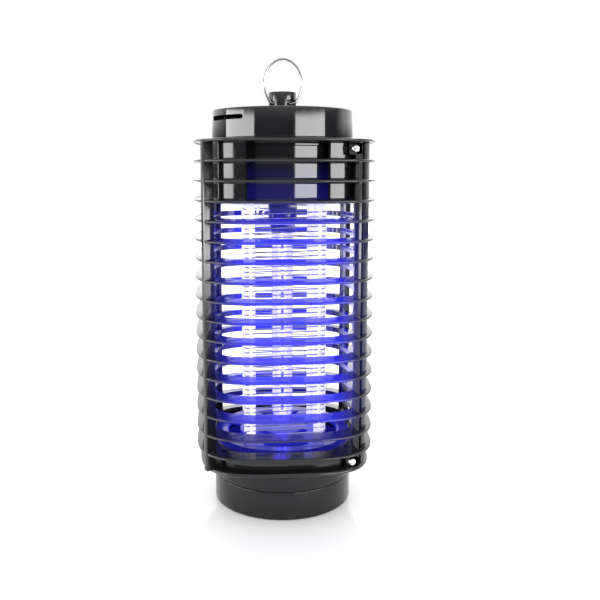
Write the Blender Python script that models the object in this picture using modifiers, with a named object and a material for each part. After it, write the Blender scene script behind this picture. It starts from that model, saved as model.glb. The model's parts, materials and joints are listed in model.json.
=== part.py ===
"""Electric bug zapper: a lantern with a finned cage, a high-voltage wire grid round a UV lamp,
a drive unit in its head, a pull-off collecting tray and a wire ring to hang it from.

Metres, +Z up, front = -Y. The origin is on the floor under the middle of the tray.
The cage is two identical mouldings, the second turned half a turn, closed by four screws.
"""
import math

import bmesh
import bpy
from mathutils import Matrix

# ---- driving dimensions -------------------------------------------------------------------------
SQUARENESS = 3.5          # exponent of the cage's rounded-square plan
FIN_HALF = 0.060          # half width over the fin tips
ROOT_HALF = 0.050         # half width at the fin roots
FIN_COUNT = 17
FIN_PITCH = 0.0127
TOP_FIN_Z = 0.2489
FIN_ROOT_T = 0.0038       # fin thickness at its root
FIN_TIP_T = 0.0018
RIM_HALF = 0.058
RIM_Z = 0.0346
RIM_T = 0.0044
PLAN_STEPS = 24
GAP = 0.0003              # between pieces that touch

WALL = 0.002
WINDOW_HALF = 0.0265      # half width of the four windows in the cage's upper wall
SEAM_X = 0.0472           # the halves part on this plane at the front right, and opposite at the back
SEAM_GAP = 0.0004

CAP_R = 0.048
COLLAR_R = 0.047
CAP_TOP = 0.270
CAP_BOTTOM = 0.2506
HEAD_BOTTOM = 0.2098
HEAD_PLATE_T = 0.0026
SHELF_BOTTOM = 0.2477
SHELF_TOP = 0.2501

NECK_R = 0.0095
NECK_TOP = 0.2825
RING_Y = -0.0058          # the hanging ring swings about a line along X here
RING_Z = 0.2746
RING_WIRE_R = 0.0008
RING_FOOT_X = 0.0079
RING_HALF = 0.0128
RING_WAIST = 0.0128       # height of the ring's widest place over its hinge line
RING_TOP = 0.0294

TRAY_SEAM = 0.0190
SPIGOT_TOP = 0.0275
FLOOR_BOTTOM = 0.0444
FLOOR_T = 0.0030
FLOOR_R = 0.0474

POST_AT = 0.023           # grid posts stand at +- this in x and y
POST_HALF = 0.003
GRID_HALF = 0.02675       # the grid wires' half width
GRID_PITCH = 0.0064
GRID_TURNS = 24
GRID_START = 0.0510
GRID_WIRE_R = 0.0004

TUBE_R = 0.0035
TUBE_AT = 0.0040          # each finger of the lamp from its middle
LAMP_TOP = 0.1877
LAMP_BOTTOM = 0.0606      # middle of the lamp's U bend

SCREW_X = 0.0424
SCREW_LEVELS = (0.2437, 0.0395)
BASE_SCREW_AT = 0.0430     # from the middle
SLOT_TURN = math.radians(55.7)   # the cap's vent slot, from the front towards the left
SLOT_Z = 0.264

# ---- scene, collections, materials --------------------------------------------------------------
for old in list(bpy.data.objects):
    bpy.data.objects.remove(old, do_unlink=True)


def collection(name):
    made = bpy.data.collections.new(name)
    bpy.context.scene.collection.children.link(made)
    return made


PARTS = collection("bug_zapper")
CUTTERS = collection("cutters")


def material(name, color, roughness, metallic=0.0):
    made = bpy.data.materials.new(name)
    made.use_nodes = True
    shader = made.node_tree.nodes["Principled BSDF"]
    shader.inputs["Base Color"].default_value = (*color, 1.0)
    shader.inputs["Roughness"].default_value = roughness
    shader.inputs["Metallic"].default_value = metallic
    return made


BLACK = material("black_plastic", (0.012, 0.012, 0.014), 0.14)
STEEL = material("plated_steel", (0.72, 0.72, 0.70), 0.25, 1.0)
CHROME = material("chrome_wire", (0.80, 0.80, 0.80), 0.10, 1.0)
GRID = material("grid_wire", (0.55, 0.55, 0.58), 0.35, 1.0)
WHITE = material("white_insulator", (0.80, 0.80, 0.84), 0.45)
TUBE_GLASS = material("lamp_glass", (0.78, 0.76, 1.0), 0.10)
BOARD = material("circuit_board", (0.03, 0.16, 0.07), 0.5)
FERRITE = material("ferrite", (0.05, 0.05, 0.055), 0.6)
COPPER = material("enamelled_copper", (0.55, 0.22, 0.08), 0.35, 1.0)
SLEEVE = material("capacitor_sleeve", (0.03, 0.05, 0.14), 0.35)
EPOXY = material("capacitor_epoxy", (0.45, 0.12, 0.04), 0.4)
RUBBER = material("rubber", (0.02, 0.02, 0.02), 0.7)


# ---- tools --------------------------------------------------------------------------------------
def place(name, mesh, look, at=(0, 0, 0)):
    """A new object; with no material it is a cutter."""
    made = bpy.data.objects.new(name, mesh)
    made.location = at
    if look is None:
        CUTTERS.objects.link(made)
        made.hide_render = True
        made.display_type = "WIRE"
    else:
        PARTS.objects.link(made)
        mesh.materials.append(look)
    return made


def bevel(obj, width, segments=1, angle=40):
    made = obj.modifiers.new("edges", "BEVEL")
    made.width = width
    made.segments = segments
    made.limit_method = "ANGLE"
    made.angle_limit = math.radians(angle)
    return obj


def boolean(obj, other, operation):
    made = obj.modifiers.new(operation.lower(), "BOOLEAN")
    made.operation = operation
    made.solver = "EXACT"
    made.object = other


def cut(obj, *others):
    for other in others:
        boolean(obj, other, "DIFFERENCE")


def join(obj, *others):
    for other in others:
        boolean(obj, other, "UNION")


def box(name, low, high, look=None, edge=0.0):
    """A box between two corners, placed by its middle."""
    middle = [(a + b) / 2 for a, b in zip(low, high)]
    bm = bmesh.new()
    bmesh.ops.create_cube(bm, size=1.0)
    bmesh.ops.scale(bm, vec=[b - a for a, b in zip(low, high)], verts=bm.verts)
    mesh = bpy.data.meshes.new(name)
    bm.to_mesh(mesh)
    bm.free()
    made = place(name, mesh, look, middle)
    if edge:
        bevel(made, edge)
    return made


def rod(name, radius, length, at, look=None, axis="Z", sides=16):
    """A cylinder standing on its place, along +Z, +Y or +X."""
    bm = bmesh.new()
    bmesh.ops.create_cone(bm, cap_ends=True, segments=sides, radius1=radius, radius2=radius, depth=length)
    bmesh.ops.translate(bm, vec=(0, 0, length / 2), verts=bm.verts)
    mesh = bpy.data.meshes.new(name)
    bm.to_mesh(mesh)
    bm.free()
    made = place(name, mesh, look, at)
    made.rotation_euler = {"Z": (0, 0, 0), "Y": (-math.pi / 2, 0, 0), "X": (0, math.pi / 2, 0)}[axis]
    return made


def turned(name, profile, look=None, at=(0, 0, 0), steps=28, closed=False):
    """A profile of (radius, height), running down its outer side, turned about Z."""
    mesh = bpy.data.meshes.new(name)
    edges = [(i, i + 1) for i in range(len(profile) - 1)]
    if closed:
        edges.append((len(profile) - 1, 0))
    mesh.from_pydata([(r, 0, z) for r, z in profile], edges, [])
    made = place(name, mesh, look, at)
    screw = made.modifiers.new("turn", "SCREW")
    screw.steps = steps
    screw.render_steps = steps
    screw.use_merge_vertices = True
    screw.merge_threshold = 0.00001
    return made


def prism(name, outlines, low, high, look=None):
    """Flat outlines, the first outside and any others holes in it, extruded from low to high."""
    curve = bpy.data.curves.new(name, "CURVE")
    curve.dimensions = "2D"
    curve.fill_mode = "BOTH"
    curve.extrude = (high - low) / 2
    for outline in outlines:
        spline = curve.splines.new("POLY")
        spline.points.add(len(outline) - 1)
        spline.use_cyclic_u = True
        for point, (x, y) in zip(spline.points, outline):
            point.co = (x, y, 0, 1)
    flat = bpy.data.objects.new(name + "_outline", curve)
    CUTTERS.objects.link(flat)
    seen = flat.evaluated_get(bpy.context.evaluated_depsgraph_get())
    mesh = bpy.data.meshes.new_from_object(seen)
    bpy.data.objects.remove(flat, do_unlink=True)
    bm = bmesh.new()
    bm.from_mesh(mesh)
    bmesh.ops.remove_doubles(bm, verts=bm.verts, dist=0.000001)
    bmesh.ops.recalc_face_normals(bm, faces=bm.faces)
    bm.to_mesh(mesh)
    bm.free()
    return place(name, mesh, look, (0, 0, (low + high) / 2))


def tube(name, points, radius, look, at=(0, 0, 0), roundness=1):
    """A round wire or tube through its points."""
    curve = bpy.data.curves.new(name, "CURVE")
    curve.dimensions = "3D"
    curve.bevel_depth = radius
    curve.bevel_resolution = roundness
    curve.use_fill_caps = True
    spline = curve.splines.new("POLY")
    spline.points.add(len(points) - 1)
    for point, (x, y, z) in zip(spline.points, points):
        point.co = (x, y, z, 1)
    made = bpy.data.objects.new(name, curve)
    made.location = at
    curve.materials.append(look)
    PARTS.objects.link(made)
    return made


def bend(points, radius, steps=3):
    """The same path with its corners rounded by arcs drawn through quadratic curves."""
    path = [points[0]]
    for before, here, after in zip(points, points[1:], points[2:]):
        ends = []
        for other in (before, after):
            span = math.dist(here, other)
            share = min(radius, span * 0.49) / span
            ends.append([h + (o - h) * share for h, o in zip(here, other)])
        for i in range(steps + 1):
            t = i / steps
            path.append([(1 - t) ** 2 * a + 2 * t * (1 - t) * h + t * t * b
                         for a, h, b in zip(ends[0], here, ends[1])])
    path.append(points[-1])
    return path


def circle(radius, count=28):
    return [(radius * math.cos(math.tau * i / count), radius * math.sin(math.tau * i / count))
            for i in range(count)]


def around(radius, turn, z=0.0):
    return (radius * math.cos(turn), radius * math.sin(turn), z)


def squircle_point(half, turn):
    """A point of the cage's rounded-square plan; turn runs once round in radians."""
    c, s = math.cos(turn), math.sin(turn)
    power = 2 / SQUARENESS
    return half * math.copysign(abs(c) ** power, c), half * math.copysign(abs(s) ** power, s)


def squircle(half, start=0.0, end=math.tau, steps=PLAN_STEPS, closed=True):
    count = steps if closed else steps + 1
    return [squircle_point(half, start + (end - start) * i / steps) for i in range(count)]


def squircle_turn(x, half):
    """The turn, from 0 at +X, at which the plan is at a given x on its first quarter."""
    return math.acos((x / half) ** (SQUARENESS / 2))


# ---- the cage -----------------------------------------------------------------------------------
def fin_section(tip_half, thickness, tip_thickness):
    """One fin's section as (half width, height), a blade that thins towards its tip."""
    return [(ROOT_HALF, thickness / 2), (tip_half, tip_thickness / 2),
            (tip_half, -tip_thickness / 2), (ROOT_HALF, -thickness / 2)]


def fins_mesh():
    """All the fins and the bottom rim as closed rings on the rounded-square plan."""
    fin = fin_section(FIN_HALF, FIN_ROOT_T, FIN_TIP_T)
    rings = [(TOP_FIN_Z - FIN_PITCH * i, fin) for i in range(FIN_COUNT)]
    rings.append((RIM_Z, fin_section(RIM_HALF, RIM_T, RIM_T * 0.6)))
    bm = bmesh.new()
    for z, section in rings:
        start = [bm.verts.new((half, 0, z + dz)) for half, dz in section]
        edges = [bm.edges.new((a, b)) for a, b in zip(start, start[1:] + start[:1])]
        bmesh.ops.spin(bm, geom=start + edges, axis=(0, 0, 1), cent=(0, 0, 0),
                       angle=math.tau, steps=PLAN_STEPS, use_merge=True)
    bmesh.ops.remove_doubles(bm, verts=bm.verts, dist=0.000001)
    for vert in bm.verts:
        radius = math.hypot(vert.co.x, vert.co.y)
        vert.co.x, vert.co.y = squircle_point(radius, math.atan2(vert.co.y, vert.co.x))
    bmesh.ops.recalc_face_normals(bm, faces=bm.faces)
    mesh = bpy.data.meshes.new("cage_half")
    bm.to_mesh(mesh)
    bm.free()
    return mesh


def strip(name, inner, outer, start, end, low, high, steps):
    """A length of wall that follows the plan between two half widths."""
    outline = squircle(outer, start, end, steps, closed=False)
    outline += squircle(inner, start, end, steps, closed=False)[::-1]
    return prism(name, [outline], low, high)


def make_cage_half():
    """The front and left sides. Its right end meets the other half at +SEAM_X."""
    half = place("cage_half_front", fins_mesh(), BLACK)
    inner = ROOT_HALF - WALL
    outer = ROOT_HALF + 0.0006
    corner = squircle_turn(WINDOW_HALF, ROOT_HALF)
    walls = [strip(f"corner_wall_{i}", inner, outer, quarter + math.pi / 2 - corner, quarter + corner,
                   0.2092, 0.2486, 4)
             for i, quarter in enumerate((math.pi / 2, math.pi, 3 * math.pi / 2))]
    skirt = prism("skirt_wall", [squircle(outer), squircle(inner)], 0.0352, 0.0461)
    shelf = prism("top_shelf", [squircle(ROOT_HALF + 0.0014), circle(COLLAR_R + GAP)],
                  SHELF_BOTTOM, SHELF_TOP)
    flange = prism("floor_flange", [squircle(ROOT_HALF - 0.0007), circle(0.044)], 0.0421, 0.0441)
    sole = prism("rim_sole", [squircle(ROOT_HALF + 0.002), circle(0.041)], 0.0328, 0.0364)

    join(skirt, flange, sole)
    for z, piece in zip(SCREW_LEVELS, (walls[2], skirt)):
        cut(piece, box(f"tab_room_{z}", (0.0378, -0.0399, z - 0.0037), (0.0560, -0.0341, z + 0.0037)))
    for degrees in (225, 315):
        foot = around(BASE_SCREW_AT, math.radians(degrees), 0.0306)
        cut(skirt, rod(f"sole_hole_{degrees}", 0.0014, 0.0080, foot, sides=8))
    join(half, *walls, skirt, shelf)

    post_low, post_high = 0.0339, 0.2485
    seam_post = box("seam_post", (0.0427, -0.0484, post_low), (0.0478, -0.0418, post_high))
    middle_post = box("middle_post", (-0.002, -0.0036, post_low), (0.002, 0.0036, post_high))
    middle_post.location = (-0.0506, -0.0416, (post_low + post_high) / 2)
    middle_post.rotation_euler.z = math.radians(-51)
    end_post = box("end_post", (-0.0022, -0.003, post_low), (0.0022, 0.003, post_high))
    end_post.location = (-0.0497, 0.0392, (post_low + post_high) / 2)
    end_post.rotation_euler.z = math.radians(-42)
    join(half, seam_post, middle_post, end_post)

    for z in SCREW_LEVELS:
        join(half, box(f"screw_boss_{z}", (0.0386, -0.0484, z - 0.0038), (0.0475, -0.0400, z + 0.0038)))

    edge, back_edge = SEAM_X - SEAM_GAP / 2, -SEAM_X - SEAM_GAP / 2
    far, step = 0.08, -SEAM_GAP / 2
    cut(half, prism("other_half_space", [[(edge, -far), (far, -far), (far, far), (back_edge, far),
                                          (back_edge, step), (edge, step)]], -0.01, 0.30))
    for z in SCREW_LEVELS:
        tab = box(f"screw_tab_{z}", (-0.0520, 0.0345, z - 0.0024), (-0.0386, 0.0396, z + 0.0024))
        cut(tab, rod(f"tab_hole_{z}", 0.0016, 0.02, (-SCREW_X, 0.0320, z), axis="Y", sides=12))
        join(half, tab)
        cut(half, rod(f"boss_hole_{z}", 0.0016, 0.0100, (SCREW_X, -0.0490, z), axis="Y", sides=12))
    for piece in (half, skirt, walls[2]):
        for made in piece.modifiers:
            made.solver = "MANIFOLD"
    return half


def make_cage():
    """The back half is the front half's own moulding, made solid and turned half a turn."""
    front = make_cage_half()
    mesh = bpy.data.meshes.new_from_object(front.evaluated_get(bpy.context.evaluated_depsgraph_get()))
    back = place("cage_half_back", mesh, BLACK)
    back.rotation_euler.z = math.pi


def pan_screw(name, at, turn, head_r=0.00265, head_t=0.0017, shank_r=0.00125, length=0.0125):
    """A pan-head screw whose head sits at its place and whose shank runs along +Z before turning."""
    profile = [(0, length), (shank_r, length - 0.0005), (shank_r, 0), (head_r, 0), (head_r * 0.8, -head_t),
               (0, -head_t)]
    made = turned(name, profile, STEEL, at, 8)
    made.rotation_euler = turn
    return made


def make_cage_screws():
    face = -0.0484 - GAP
    number = 0
    for side, turn in ((1, -math.pi / 2), (-1, math.pi / 2)):
        for z in SCREW_LEVELS:
            number += 1
            pan_screw(f"cage_screw_{number}", (side * SCREW_X, side * face, z), (turn, 0, 0))


# ---- the head -----------------------------------------------------------------------------------
BOSS_AT = [math.radians(a) for a in (90, 210, 330)]
BOSS_CIRCLE = 0.0400
STANDOFF_CIRCLE = 0.0300
BOARD_Z = 0.2262


def make_head_housing():
    """An inverted cup: the cap above the cage's shelf, the collar and its rib below."""
    inner = COLLAR_R - WALL
    profile = [(0, CAP_TOP), (CAP_R - 0.0012, CAP_TOP), (CAP_R, CAP_TOP - 0.0012), (CAP_R, CAP_BOTTOM),
               (COLLAR_R, CAP_BOTTOM), (COLLAR_R, 0.2473), (COLLAR_R + 0.0010, 0.2468),
               (COLLAR_R + 0.0010, 0.2460), (COLLAR_R, 0.2455), (COLLAR_R, HEAD_BOTTOM),
               (inner, HEAD_BOTTOM), (inner, CAP_TOP - 0.0024), (0, CAP_TOP - 0.0024)]
    housing = turned("head_housing", profile, BLACK)
    for i, turn in enumerate(BOSS_AT):
        join(housing, rod(f"head_boss_{i}", 0.0032, 0.0560, around(BOSS_CIRCLE, turn, 0.2128), sides=12))
    for i, turn in enumerate(BOSS_AT):
        cut(housing, rod(f"head_boss_hole_{i}", 0.0016, 0.0120, around(BOSS_CIRCLE, turn, 0.2100), sides=8))
    for i in range(2):
        slot = box(f"vent_slot_{i}", (-0.0166, -0.0600, SLOT_Z - 0.0015), (0.0166, -0.0425, SLOT_Z + 0.0015))
        turn = Matrix.Rotation(math.pi * i - SLOT_TURN, 4, "Z")
        slot.matrix_world = turn @ Matrix.Translation(slot.location)
        cut(housing, slot)
    cut(housing, rod("neck_hole", 0.0043, 0.0080, (0, 0, 0.2650), sides=16))
    cut(housing, rod("gland_hole", 0.0043, 0.0080, (0, 0.0430, 0.2600), axis="Y", sides=16))


def make_hanger_neck():
    """The neck, cross-bored for the ring's two ends, with its stem through the cap."""
    low = CAP_TOP + GAP
    profile = [(0, NECK_TOP), (NECK_R - 0.0006, NECK_TOP), (NECK_R, NECK_TOP - 0.0006), (NECK_R, low),
               (0.0039, low), (0.0039, 0.2600), (0, 0.2600)]
    neck = turned("hanger_neck", profile, BLACK, steps=24)
    cut(neck, rod("ring_bore", 0.0020, 0.0170, (-0.0120, RING_Y, RING_Z), axis="X"))
    cut(neck, box("ring_window", (0.0023, -0.0110, 0.2720), (0.0110, -0.0030, 0.2771)))
    turned("neck_nut", [(0.0075, 0.2671), (0.0075, 0.2630), (0.0049, 0.2630), (0.0049, 0.2671)],
           STEEL, steps=6, closed=True)


def make_head_plate():
    """The plate that closes the head from below and carries the lamp socket and the grid."""
    top = HEAD_BOTTOM + HEAD_PLATE_T
    plate = turned("head_plate", [(0, top), (COLLAR_R - WALL - GAP, top),
                                  (COLLAR_R - WALL - GAP, HEAD_BOTTOM), (0, HEAD_BOTTOM)], BLACK)
    for i, turn in enumerate(BOSS_AT):
        join(plate, rod(f"standoff_{i}", 0.0025, BOARD_Z - GAP - top + 0.001,
                        around(STANDOFF_CIRCLE, turn, top - 0.001), sides=12))
        cut(plate, rod(f"plate_hole_{i}", 0.0016, 0.0100, around(BOSS_CIRCLE, turn, 0.2050), sides=8))
        cut(plate, rod(f"standoff_hole_{i}", 0.0013, 0.0090,
                       around(STANDOFF_CIRCLE, turn, BOARD_Z - 0.0080), sides=8))
        pan_screw(f"head_screw_{i + 1}", around(BOSS_CIRCLE, turn, HEAD_BOTTOM - GAP), (0, 0, 0),
                  length=0.0110)
        pan_screw(f"board_screw_{i + 1}", around(STANDOFF_CIRCLE, turn, BOARD_Z + 0.0016 + GAP),
                  (math.pi, 0, 0), head_r=0.0021, head_t=0.0014, shank_r=0.0010, length=0.0060)
    cut(plate, box("socket_hole", (-0.0066, -0.0051, 0.2050), (0.0066, 0.0051, 0.2160)))
    for i, (x, y) in enumerate(POST_PLACES):
        cut(plate, rod(f"tenon_hole_{i}", 0.0024, 0.0100, (x, y, 0.2050), sides=12))
    for i, x in enumerate((-0.0165, 0.0165)):
        cut(plate, rod(f"lead_hole_{i}", 0.0015, 0.0100, (x, -0.0040, 0.2050), sides=8))


def make_drive():
    """The drive unit on its board: the lamp's ballast and the high-voltage multiplier."""
    board = turned("circuit_board", [(0, BOARD_Z + 0.0016), (0.0362, BOARD_Z + 0.0016), (0.0362, BOARD_Z),
                                     (0, BOARD_Z)], BOARD)
    for i, turn in enumerate(BOSS_AT):
        cut(board, rod(f"board_hole_{i}", 0.0014, 0.0060,
                       around(STANDOFF_CIRCLE, turn, BOARD_Z - 0.002), sides=8))
    top = BOARD_Z + 0.0016 + GAP
    core = box("ballast_core", (-0.0110, -0.0060, top), (0.0110, 0.0060, top + 0.0160), FERRITE, 0.0005)
    cut(core, box("core_window_left", (-0.0080, -0.0100, top + 0.0030), (-0.0030, 0.0100, top + 0.0130)))
    cut(core, box("core_window_right", (0.0030, -0.0100, top + 0.0030), (0.0080, 0.0100, top + 0.0130)))
    coil = box("ballast_coil", (-0.0077, -0.0110, top + 0.0034), (0.0077, 0.0110, top + 0.0126),
               COPPER, 0.0012)
    cut(coil, box("coil_bore", (-0.0033, -0.0063, top), (0.0033, 0.0063, top + 0.0200)))
    cut(coil, box("coil_side_left", (-0.0100, -0.0063, top), (-0.0077, 0.0063, top + 0.0200)))
    can = [(0, 0.0150), (0.0045, 0.0150), (0.0050, 0.0145), (0.0050, 0), (0, 0)]
    turned("smoothing_capacitor", can, SLEEVE, (0.0, 0.0200, top), 20)
    for i, x in enumerate((-0.0225, 0.0225)):
        box(f"hv_capacitor_{i + 1}", (x - 0.0030, -0.0065, top), (x + 0.0030, 0.0065, top + 0.0110),
            EPOXY, 0.0008)
    for i, x in enumerate((-0.0090, 0.0090)):
        rod(f"hv_diode_{i + 1}", 0.0016, 0.0080, (x - 0.0040, -0.0180, top + 0.0018), FERRITE, "X", 12)


def make_gland():
    """The grommet where a mains lead enters the back of the cap."""
    turned("cord_gland", [(0.0022, -0.0045), (0.0022, 0.0030), (0.0040, 0.0030), (0.0040, -0.0003),
                          (0.0060, -0.0003), (0.0060, -0.0030), (0.0045, -0.0045)],
           RUBBER, (0, CAP_R, 0.2600), 16, closed=True).rotation_euler = (math.pi / 2, 0, 0)


# ---- the lamp -----------------------------------------------------------------------------------
def make_lamp():
    socket = box("lamp_socket", (-0.0095, -0.0070, 0.1955), (0.0095, 0.0070, HEAD_BOTTOM - GAP),
                 BLACK, 0.0006)
    join(socket, box("socket_tongue", (-0.0062, -0.0047, 0.2080), (0.0062, 0.0047, 0.2150)))
    cut(socket, box("socket_recess", (-0.0064, -0.0040, 0.1900), (0.0064, 0.0040, 0.2020)))
    base = box("lamp_base", (-0.0085, -0.0055, LAMP_TOP + GAP), (0.0085, 0.0055, 0.1952), BLACK, 0.0006)
    join(base, box("lamp_plug", (-0.0060, -0.0036, 0.1930), (0.0060, 0.0036, 0.2015)))
    low = [(TUBE_AT * math.cos(a), 0, LAMP_BOTTOM + TUBE_AT * math.sin(a))
           for a in (math.pi + math.pi * i / 8 for i in range(9))]
    path = [(-TUBE_AT, 0, LAMP_TOP)] + low + [(TUBE_AT, 0, LAMP_TOP)]
    tube("lamp_tube", path, TUBE_R, TUBE_GLASS, roundness=2)
    lead = [(-0.0165, -0.0040, 0.2180), (-0.0165, -0.0040, 0.2070), (-0.0178, -0.0075, 0.1985),
            (-0.0140, -0.0065, 0.1975), (-0.0132, -0.0025, 0.2030), (-0.0098, -0.0025, 0.2030)]
    tube("lamp_lead", bend(lead, 0.003), 0.0008, WHITE)


# ---- the grid -----------------------------------------------------------------------------------
POST_PLACES = [(POST_AT * sx, POST_AT * sy) for sx, sy in ((-1, -1), (1, -1), (1, 1), (-1, 1))]


def wire_path(lift):
    """Straight runs from post to post outside their chamfered corners, climbing one pitch a turn."""
    return [(math.copysign(GRID_HALF, POST_PLACES[i % 4][0]), math.copysign(GRID_HALF, POST_PLACES[i % 4][1]),
             GRID_START + lift + GRID_PITCH * i / 4) for i in range(4 * GRID_TURNS + 1)]


def make_grid():
    low, high = FLOOR_BOTTOM + FLOOR_T + GAP, HEAD_BOTTOM - GAP
    for i, (x, y) in enumerate(POST_PLACES):
        post = box(f"grid_post_{i + 1}", (x - POST_HALF, y - POST_HALF, low),
                   (x + POST_HALF, y + POST_HALF, high), WHITE, 0.0016)
        post.modifiers["edges"].limit_method = "WEIGHT"
        weights = post.data.attributes.new("bevel_weight_edge", "FLOAT", "EDGE")
        for edge in post.data.edges:
            a, b = (post.data.vertices[v].co for v in edge.vertices)
            weights.data[edge.index].value = 1.0 if abs(a.z - b.z) > 0.01 else 0.0
        join(post, rod(f"tenon_{i}", 0.0021, 0.0050, (x, y, high - 0.0010), sides=12))
        cut(post, rod(f"post_hole_{i}", 0.0013, 0.0110, (x, y, low - 0.0010), sides=8))
        pan_screw(f"post_screw_{i + 1}", (x, y, FLOOR_BOTTOM - GAP), (0, 0, 0), head_t=0.0015,
                  shank_r=0.0010, length=0.0110)
    tube("grid_wire_1", wire_path(0.0), GRID_WIRE_R, GRID, roundness=0)
    tube("grid_wire_2", wire_path(GRID_PITCH / 2), GRID_WIRE_R, GRID, roundness=0)


def arc_slot(inner, outer, middle, half_turn, steps=5):
    """The outline of a slot between two radii."""
    turns = [middle - half_turn + 2 * half_turn * i / steps for i in range(steps + 1)]
    return [around(outer, t)[:2] for t in turns] + [around(inner, t)[:2] for t in turns[::-1]]


def make_floor():
    """The slotted floor that the grid stands on; what the grid kills falls through it."""
    slots = [arc_slot(0.0300, 0.0390, math.radians(90 * i), math.radians(24)) for i in range(4)]
    slots += [arc_slot(0.0140, 0.0195, math.radians(45 + 90 * i), math.radians(22), 3) for i in range(4)]
    holes = [[(x + a, y + b) for a, b in circle(0.0014, 8)] for x, y in POST_PLACES]
    outlines = [circle(FLOOR_R)] + slots + holes
    prism("floor_plate", outlines, FLOOR_BOTTOM, FLOOR_BOTTOM + FLOOR_T, BLACK)


# ---- base and tray ------------------------------------------------------------------------------
def make_base():
    low, top = TRAY_SEAM + GAP, 0.0321
    collar = turned("base_collar", [(0.0480, top), (0.0480, low), (0.0459, low), (0.0459, 0.0305),
                                    (0.0400, 0.0305), (0.0400, top)], BLACK, closed=True)
    for i in range(4):
        turn = math.radians(45 + 90 * i)
        cut(collar, rod(f"base_hole_{i}", 0.0014, 0.0060, around(BASE_SCREW_AT, turn, 0.0280), sides=8))
        pan_screw(f"base_screw_{i + 1}", around(BASE_SCREW_AT, turn, 0.0305 - GAP), (0, 0, 0), head_r=0.0023,
                  head_t=0.0012, shank_r=0.0010, length=0.0050)
    cup = [(0, 0.0020), (0.0460, 0.0020), (0.0460, 0.0150), (0.0436, 0.0170), (0.0436, SPIGOT_TOP),
           (0.0456, SPIGOT_TOP), (0.0456, TRAY_SEAM), (0.0480, TRAY_SEAM), (0.0480, 0.0008), (0.0472, 0),
           (0, 0)]
    turned("tray_cup", cup, BLACK)


# ---- hanging ring -------------------------------------------------------------------------------
def ring_path():
    """Half by half: the end in the bore, the leg's sweep to the widest place, then an elliptic top."""
    legs = [(RING_FOOT_X + (RING_HALF - RING_FOOT_X) * math.sin(math.pi / 2 * i / 5), RING_WAIST * i / 5)
            for i in range(6)]
    rise = RING_TOP - RING_WAIST
    top = [(RING_HALF * math.cos(math.pi / 2 * i / 6), RING_WAIST + rise * math.sin(math.pi / 2 * i / 6))
           for i in range(1, 7)]
    right = [(0.0042, 0.0)] + legs + top
    left = [(-x, z) for x, z in right[-2::-1]]
    return [(x, 0, z) for x, z in right + left]


make_cage()
make_cage_screws()
make_head_housing()
make_hanger_neck()
make_head_plate()
make_drive()
make_gland()
make_lamp()
make_grid()
make_floor()
make_base()
tube("hanging_ring", ring_path(), RING_WIRE_R, CHROME, (0, RING_Y, RING_Z), roundness=2)
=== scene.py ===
"""The looks of the bug zapper: fine surfaces, materials, the lit lamp, floor, light and camera.

Metres, +Z up, front = -Y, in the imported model's own frame. Each fine piece rides the body of the
CAD node that it replaces. The nodes that stay, most of them inside the closed head, get better
materials.
"""
import json
import math

import bmesh
import bpy
from mathutils import Matrix, Vector


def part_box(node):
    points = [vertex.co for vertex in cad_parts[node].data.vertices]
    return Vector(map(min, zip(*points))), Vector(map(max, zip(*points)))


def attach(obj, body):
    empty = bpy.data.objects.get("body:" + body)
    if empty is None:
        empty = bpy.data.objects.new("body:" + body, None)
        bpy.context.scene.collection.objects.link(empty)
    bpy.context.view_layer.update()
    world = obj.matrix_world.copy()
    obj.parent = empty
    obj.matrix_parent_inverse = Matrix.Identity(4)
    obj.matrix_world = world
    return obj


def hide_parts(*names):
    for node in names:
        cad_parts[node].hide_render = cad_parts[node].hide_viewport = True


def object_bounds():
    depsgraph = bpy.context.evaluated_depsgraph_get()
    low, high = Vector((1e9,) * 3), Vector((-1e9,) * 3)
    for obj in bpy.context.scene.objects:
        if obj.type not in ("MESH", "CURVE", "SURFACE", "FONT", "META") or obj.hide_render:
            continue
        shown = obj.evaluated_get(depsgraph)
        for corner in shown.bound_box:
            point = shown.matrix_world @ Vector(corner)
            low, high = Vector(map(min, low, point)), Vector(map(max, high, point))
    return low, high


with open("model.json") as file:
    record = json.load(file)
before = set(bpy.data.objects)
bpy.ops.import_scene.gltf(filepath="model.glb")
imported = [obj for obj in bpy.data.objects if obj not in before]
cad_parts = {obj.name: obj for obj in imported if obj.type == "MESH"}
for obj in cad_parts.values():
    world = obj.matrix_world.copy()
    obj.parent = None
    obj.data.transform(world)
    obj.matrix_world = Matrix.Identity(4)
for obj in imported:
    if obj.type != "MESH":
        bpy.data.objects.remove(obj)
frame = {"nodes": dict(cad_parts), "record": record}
cad_low, cad_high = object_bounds()

# ---- sizes, from the frame where it holds them ---------------------------------------------------
GAP = 0.0003                      # clearance between parts that meet
WALL = 0.002

# the cage: half widths, heights and thicknesses
SQUARENESS = 3.5                  # power of the rounded-square plan
FIN_HALF = cad_high.x
ROOT_HALF = 0.050
RIM_HALF = 0.058
FIN_COUNT = 17
FIN_PITCH = 0.0127
TOP_FIN_Z = 0.2489
FIN_ROOT_T = 0.0038
FIN_TIP_T = 0.0018
RIM_Z = 0.0346
RIM_T = 0.0044
SEAM_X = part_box("cage_half_front")[1].x
HALF_SPAN = math.radians(130), math.radians(334)      # a little past both seams, which end it
WINDOW_HALF = 0.0265              # window beside the head, in the middle of each side
WINDOW_SPAN = math.radians(150), math.radians(346)
CORNER_WALL = 0.2092, 0.2486
SKIRT_WALL = 0.0352, 0.0461
POST_LOW, POST_HIGH = 0.0339, 0.2485
RIGHT_POST_X, RIGHT_POST_FRONT, RIGHT_POST_BACK = 0.0427, -0.0484, -0.0418
LEFT_POSTS = ((-0.0506, -0.0416, 0.0020, 0.0036, -57),     # x, y, half width, half depth, degrees
              (-0.0497, 0.0392, 0.0022, 0.0030, -42))
CAGE_EDGE = 0.0004                # rounding of its posts and bosses
SCREW_X = 0.0424
SCREW_FACE = 0.0487
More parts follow.
